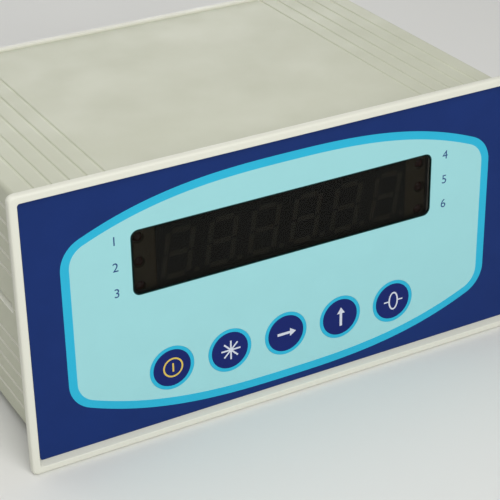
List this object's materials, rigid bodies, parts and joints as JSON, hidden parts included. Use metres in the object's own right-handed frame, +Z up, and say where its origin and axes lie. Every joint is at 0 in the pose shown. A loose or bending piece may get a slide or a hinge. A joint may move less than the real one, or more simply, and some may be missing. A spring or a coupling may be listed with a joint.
{
  "type": "weighing indicator",
  "caption": "Panel weighing indicator: bezel with printed overlay, smoked window over seven-bar figures, round keys, grooved two-part body, clamp slots, pull-out terminals.",
  "frame": {"origin": "middle of the footprint, level with the lower edge of the bezel", "axes": "+X to the right along the front as its user sees it, +Y from the front towards the terminals, +Z up"},
  "size_m": [0.154, 0.115, 0.08],
  "materials": {
    "housing_plastic": "finely textured moulding",
    "overlay_film": "printed satin film",
    "key_film": "printed satin film",
    "smoked_window": "smoked, polished",
    "plunger_plastic": "moulded",
    "black_plastic": "moulded",
    "board_laminate": "varnished laminate",
    "digit_face": "matt with pale bars",
    "lamp_red": "tinted resin",
    "holder_olive": "moulded",
    "zinc_steel": "zinc plated",
    "ribbon_grey": "ribbed insulation",
    "core_iron": "varnished laminations",
    "bobbin_nylon": "moulded",
    "winding_tape": "insulating tape",
    "capacitor_sleeve": "shrunk sleeve",
    "sink_aluminium": "extruded",
    "tinned_steel": "tin plated",
    "relay_blue": "moulded",
    "terminal_green": "moulded",
    "fuse_black": "moulded",
    "fuse_glass": "clear tube with plated caps"
  },
  "bodies": {
    "housing": {"front_bezel": "housing_plastic", "front_overlay": "overlay_film", "display_window": "smoked_window", "tact_switches": "black_plastic", "display_board": "board_laminate", "digit_module_1": "digit_face", "digit_module_2": "digit_face", "digit_module_3": "digit_face", "digit_module_4": "digit_face", "digit_module_5": "digit_face", "digit_module_6": "digit_face", "indicator_lamps": "lamp_red", "lamp_holders": "holder_olive", "display_screws": "zinc_steel", "ribbon_cable": "ribbon_grey", "ribbon_headers": "black_plastic", "upper_shell": "housing_plastic", "lower_shell": "housing_plastic", "shell_screws": "zinc_steel", "rear_cover": "housing_plastic", "rear_screws": "zinc_steel", "main_board": "board_laminate", "board_screws": "zinc_steel", "transformer_core": "core_iron", "transformer_bobbin": "bobbin_nylon", "transformer_winding": "winding_tape", "filter_capacitors": "capacitor_sleeve", "voltage_regulator": "black_plastic", "heat_sink": "sink_aluminium", "shield_can": "tinned_steel", "logic_chips": "black_plastic", "relays": "relay_blue", "power_header": "terminal_green", "cell_header": "terminal_green", "control_header": "terminal_green", "serial_port": "tinned_steel", "fuse_holder": "fuse_black"},
    "key_1": {"key_pad_1": "key_film", "key_plunger_1": "plunger_plastic", "switch_button_1": "black_plastic"},
    "key_2": {"key_pad_2": "key_film", "key_plunger_2": "plunger_plastic", "switch_button_2": "black_plastic"},
    "key_3": {"key_pad_3": "key_film", "key_plunger_3": "plunger_plastic", "switch_button_3": "black_plastic"},
    "key_4": {"key_pad_4": "key_film", "key_plunger_4": "plunger_plastic", "switch_button_4": "black_plastic"},
    "key_5": {"key_pad_5": "key_film", "key_plunger_5": "plunger_plastic", "switch_button_5": "black_plastic"},
    "power_plug": {"power_plug": "terminal_green", "power_plug_screws": "zinc_steel"},
    "cell_plug": {"cell_plug": "terminal_green", "cell_plug_screws": "zinc_steel"},
    "control_plug": {"control_plug": "terminal_green", "control_plug_screws": "zinc_steel"},
    "fuse_link": {"fuse_link": "fuse_glass"},
    "fuse_cap": {"fuse_cap": "fuse_black"}
  },
  "joints": [
    {"name": "key_1_press", "type": "slide", "parent": "housing", "child": "key_1", "axis": [0, 1, 0], "range_m": [0, 0.0003], "stiffness_N_per_m": 400, "springref_m": -0.0005},
    {"name": "key_2_press", "type": "slide", "parent": "housing", "child": "key_2", "axis": [0, 1, 0], "range_m": [0, 0.0003], "stiffness_N_per_m": 400, "springref_m": -0.0005},
    {"name": "key_3_press", "type": "slide", "parent": "housing", "child": "key_3", "axis": [0, 1, 0], "range_m": [0, 0.0003], "stiffness_N_per_m": 400, "springref_m": -0.0005},
    {"name": "key_4_press", "type": "slide", "parent": "housing", "child": "key_4", "axis": [0, 1, 0], "range_m": [0, 0.0003], "stiffness_N_per_m": 400, "springref_m": -0.0005},
    {"name": "key_5_press", "type": "slide", "parent": "housing", "child": "key_5", "axis": [0, 1, 0], "range_m": [0, 0.0003], "stiffness_N_per_m": 400, "springref_m": -0.0005},
    {"name": "power_plug_pull", "type": "slide", "parent": "housing", "child": "power_plug", "axis": [0, 1, 0], "range_m": [0, 0.012]},
    {"name": "cell_plug_pull", "type": "slide", "parent": "housing", "child": "cell_plug", "axis": [0, 1, 0], "range_m": [0, 0.012]},
    {"name": "control_plug_pull", "type": "slide", "parent": "housing", "child": "control_plug", "axis": [0, 1, 0], "range_m": [0, 0.012]},
    {"name": "fuse_link_pull", "type": "slide", "parent": "housing", "child": "fuse_link", "axis": [0, 1, 0], "range_m": [0, 0.03]},
    {"name": "fuse_cap_turn", "type": "hinge", "parent": "fuse_link", "child": "fuse_cap", "pos_m": [0.048, 0.0487, 0.056], "axis": [0, 1, 0], "range_deg": [0, 90]}
  ]
}
